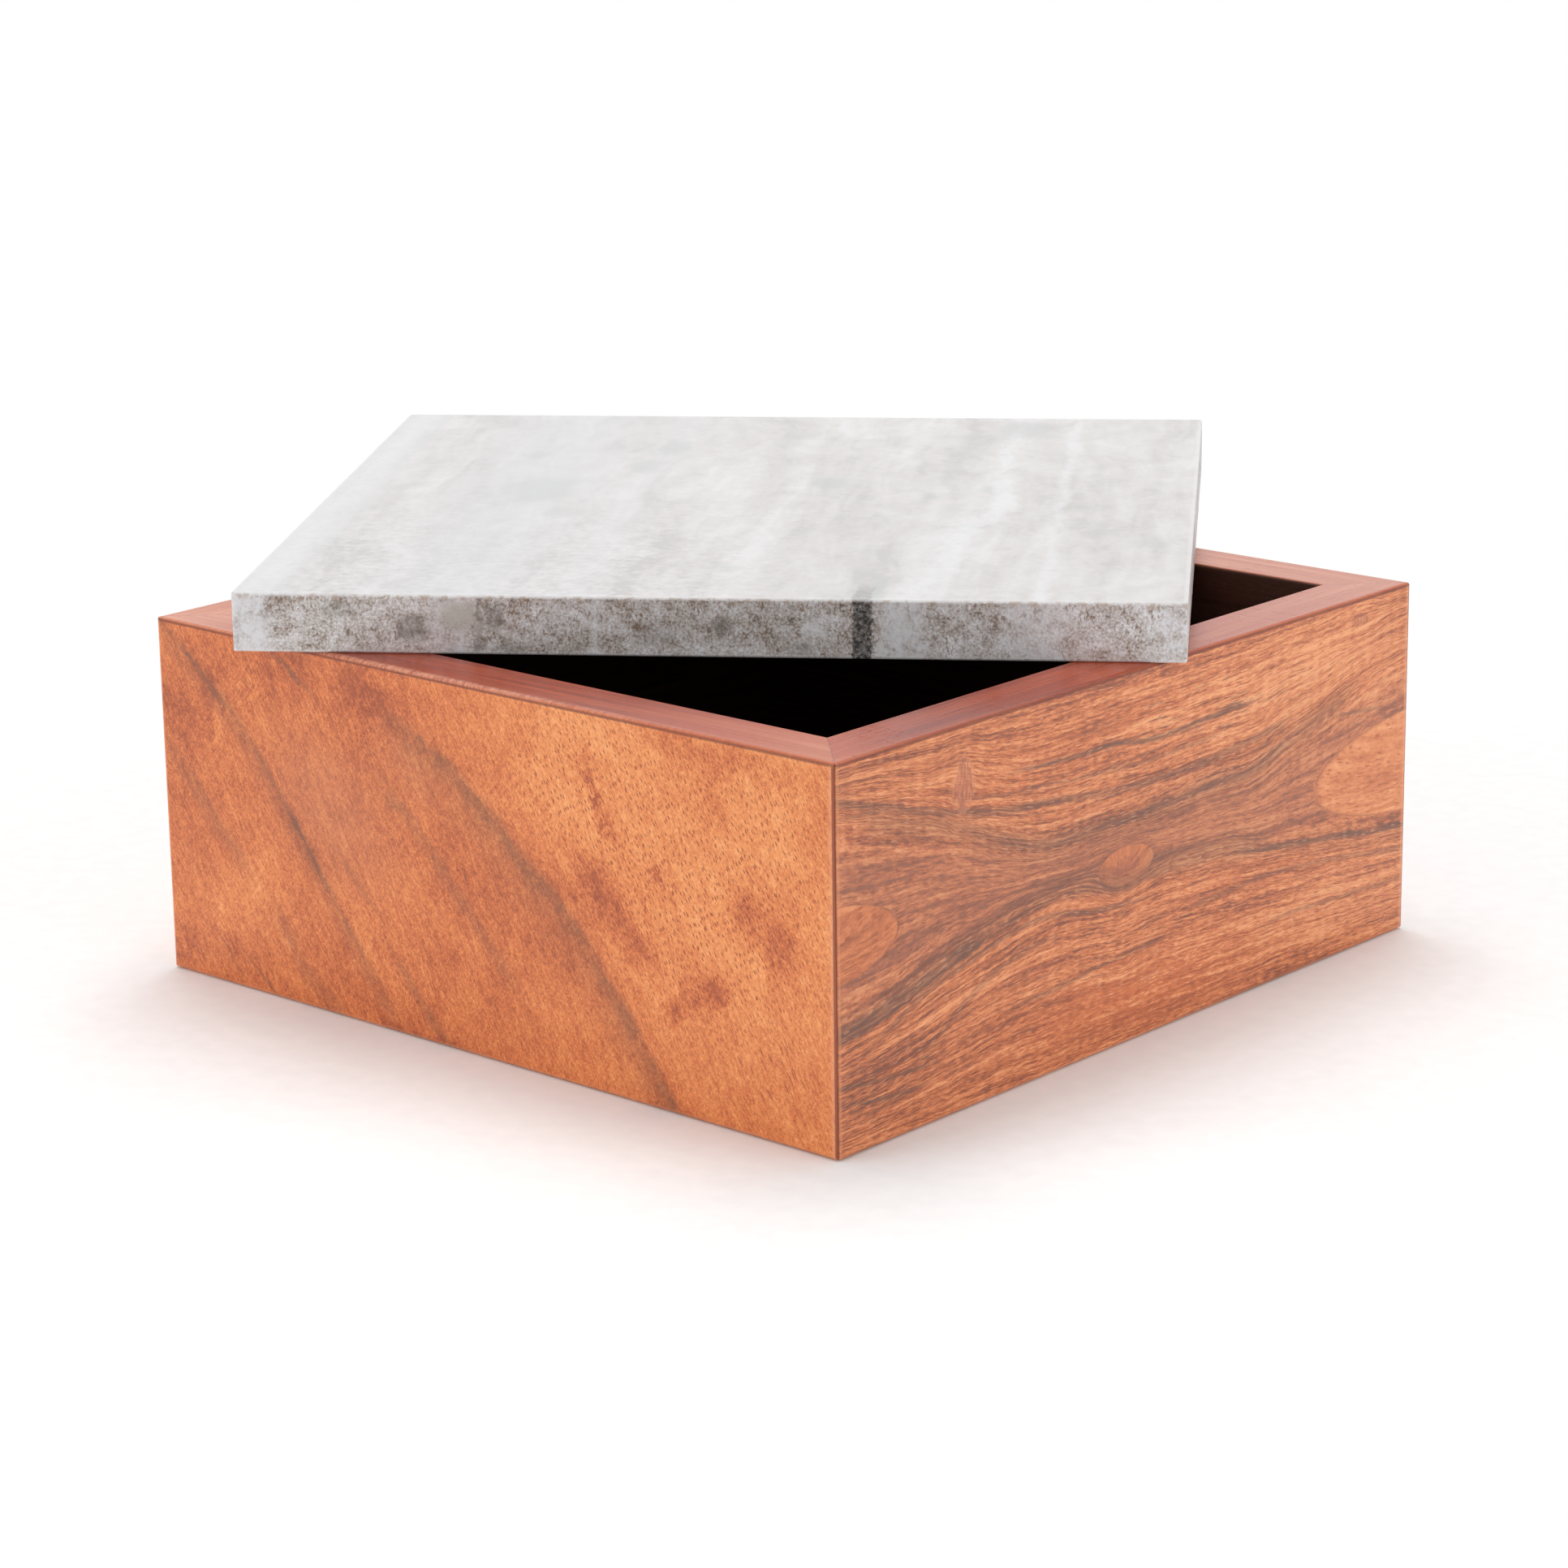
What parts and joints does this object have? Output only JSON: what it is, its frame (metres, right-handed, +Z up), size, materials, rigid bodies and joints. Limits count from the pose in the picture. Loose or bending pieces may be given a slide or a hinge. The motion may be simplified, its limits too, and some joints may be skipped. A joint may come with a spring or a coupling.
{
  "type": "lidded wooden spice box",
  "caption": "Square spice box with mitred wooden walls, an open inside and a loose marble slab that lies turned on its rim as a lid.",
  "frame": {"origin": "middle of the box's square foot, on the surface it stands on", "axes": "+Z up; the box's sides lie along X and Y, the front board faces -Y and the right board faces +X; the lid's middle lies towards -X and +Y of the origin and the lid is turned 35.33 degrees anticlockwise seen from above"},
  "size_m": [0.2168, 0.2168, 0.0725],
  "materials": {
    "face_wood": "satin lacquer over orange-brown figured wood with dark streaks",
    "panel_wood": "dark stained and matt",
    "spline_wood": "plain and unfinished",
    "marble": "honed, grey and white with soft bands and a black vein"
  },
  "bodies": {
    "box": {"front_board": "face_wood", "right_board": "face_wood", "back_board": "face_wood", "left_board": "face_wood", "base_panel": "panel_wood", "spline_front_right": "spline_wood", "spline_back_right": "spline_wood", "spline_back_left": "spline_wood", "spline_front_left": "spline_wood"},
    "lid": {"marble_lid": "marble"}
  },
  "joints": [
    {"name": "lid_lift", "type": "slide", "parent": "box", "child": "lid", "axis": [0, 0, 1], "range_m": [0, 0.12]}
  ]
}
